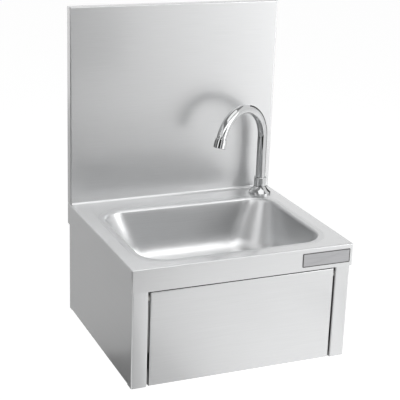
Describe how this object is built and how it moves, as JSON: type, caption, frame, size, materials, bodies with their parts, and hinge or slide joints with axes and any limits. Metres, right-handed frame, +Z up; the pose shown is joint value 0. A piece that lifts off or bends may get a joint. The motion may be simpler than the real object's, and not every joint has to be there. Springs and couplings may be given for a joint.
{
  "type": "wall-hung knee-operated hand wash basin",
  "caption": "Wall-hung stainless-steel hand wash basin with a deep pressed bowl, a tall splashback, a swan-neck swivel tap and a knee panel that works the valve behind it.",
  "frame": {"origin": "centre of the four wall fixing holes, on the wall plane", "axes": "+X to the right seen from the front, +Y towards the wall, +Z up; the front looks along -Y"},
  "size_m": [0.4, 0.35, 0.57],
  "materials": {
    "satin_steel": "satin, brushed",
    "chrome": "polished",
    "cast_brass": "as cast, machined faces",
    "plated_steel": "bright plated",
    "braided_hose": "woven wire",
    "black_rubber": "matt",
    "nylon": "matt",
    "white_plastic": "satin",
    "grey_plastic": "satin",
    "black_plastic": "matt"
  },
  "bodies": {
    "basin": {"deck": "satin_steel", "bowl": "satin_steel", "splashback": "satin_steel", "right_side_panel": "satin_steel", "left_side_panel": "satin_steel", "cross_rail": "satin_steel", "valve_bracket": "satin_steel", "waste_strainer": "satin_steel", "tap_pillar": "chrome", "swivel_collar": "chrome", "valve_body": "cast_brass", "valve_locknut": "cast_brass", "tap_locknut": "cast_brass", "left_hinge_pin": "plated_steel", "right_hinge_pin": "plated_steel", "hinge_clips": "plated_steel", "bracket_screws": "plated_steel", "bracket_nuts": "plated_steel", "return_spring": "plated_steel", "valve_hose_nut": "plated_steel", "tap_hose_nut": "plated_steel", "tap_washer": "plated_steel", "waste_screw": "plated_steel", "supply_hose": "braided_hose", "tap_gasket": "black_rubber", "upper_waste_gasket": "black_rubber", "lower_waste_gasket": "black_rubber", "glide_ring": "nylon", "waste_body": "white_plastic", "hot_check_valve": "white_plastic", "cold_check_valve": "white_plastic"},
    "knee_panel": {"knee_panel": "satin_steel", "left_stop_buffer": "black_rubber", "right_stop_buffer": "black_rubber", "left_hinge_bush": "nylon", "right_hinge_bush": "nylon", "strike_pad": "black_rubber"},
    "plunger": {"valve_plunger": "plated_steel", "push_button": "nylon"},
    "spout": {"spout": "chrome", "spout_o_rings": "black_rubber", "aerator_housing": "chrome", "aerator_insert": "grey_plastic"},
    "mixing_control": {"mixing_knob": "black_plastic", "mixing_spindle": "plated_steel"}
  },
  "joints": [
    {"name": "knee_panel_hinge", "type": "hinge", "parent": "basin", "child": "knee_panel", "pos_m": [0, -0.3378, 0.07], "axis": [1, 0, 0], "range_deg": [0, 5]},
    {"name": "plunger_slide", "type": "slide", "parent": "basin", "child": "plunger", "axis": [0, 1, 0], "range_m": [0, 0.0098], "stiffness_N_per_m": 1200, "springref_m": -0.01, "deforming": ["return_spring"]},
    {"name": "spout_swivel", "type": "hinge", "parent": "basin", "child": "spout", "pos_m": [0.165, -0.052, 0.125], "axis": [0, 0, 1], "range_deg": [-33, 160]},
    {"name": "mixing_turn", "type": "hinge", "parent": "basin", "child": "mixing_control", "pos_m": [0.075, -0.2265, -0.04], "axis": [1, 0, 0], "range_deg": [-90, 90]}
  ],
  "couplings": [
    {"joint": "plunger_slide", "follows": "knee_panel_hinge", "m_per_rad": 0.11067}
  ]
}
